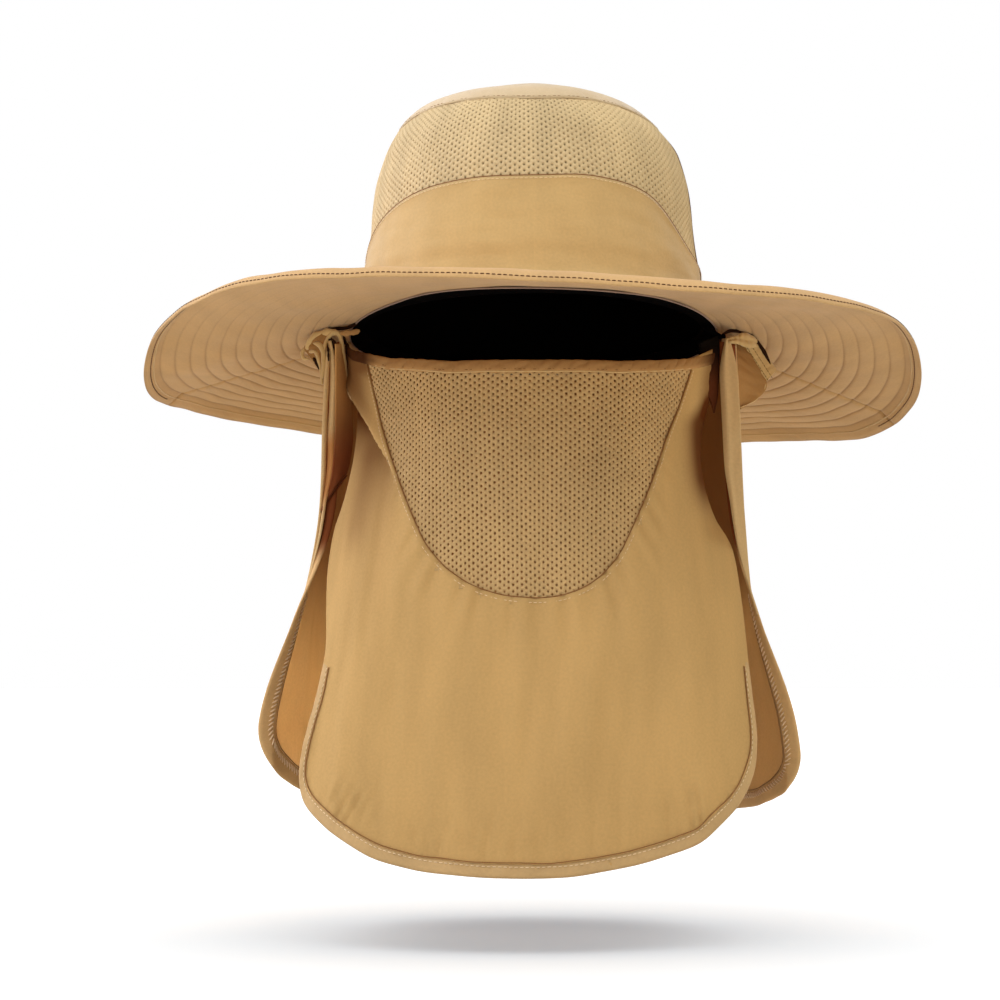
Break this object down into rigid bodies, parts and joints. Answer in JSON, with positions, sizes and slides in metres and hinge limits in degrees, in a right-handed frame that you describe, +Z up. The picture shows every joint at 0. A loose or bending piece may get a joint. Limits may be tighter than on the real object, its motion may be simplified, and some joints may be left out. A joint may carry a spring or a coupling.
{
  "type": "wide-brim bucket hat with neck flap",
  "caption": "Wide-brim cloth sun hat with an airy crown panel, a quilted brim, a face mask with a mesh insert, and a neck flap round the back.",
  "frame": {"origin": "centre of the head opening, in the plane where the crown stands on the brim: the place where a head carries the hat", "axes": "+Z up through the crown, -Y to the front where the face mask hangs, +X to the right of a viewer who looks at the front"},
  "size_m": [0.3974, 0.4077, 0.4076],
  "materials": {
    "sand_cloth": "fine plain-weave nylon, soft sheen, sand coloured",
    "brim_cloth": "same cloth quilted over a light stiffener in close concentric rows",
    "flap_cloth": "fine plain-weave nylon, unlined, hangs freely",
    "hem_cloth": "same cloth folded double, topstitched, slightly puckered",
    "crown_net": "knitted polyester net with small staggered holes",
    "mask_net": "knitted polyester net with small staggered holes",
    "black_lining": "matt black lining"
  },
  "bodies": {
    "root": {"crown_tip": "sand_cloth", "crown_mesh": "crown_net", "crown_band": "sand_cloth", "sweatband": "black_lining", "brim_front": "brim_cloth", "brim_back": "brim_cloth", "mask_panel": "sand_cloth", "mask_mesh": "mask_net", "mask_casing": "hem_cloth", "mask_hem": "hem_cloth", "flap_corner_left": "hem_cloth", "flap_corner_right": "hem_cloth", "neck_flap": "flap_cloth", "neck_flap_hem": "hem_cloth"}
  },
  "joints": []
}
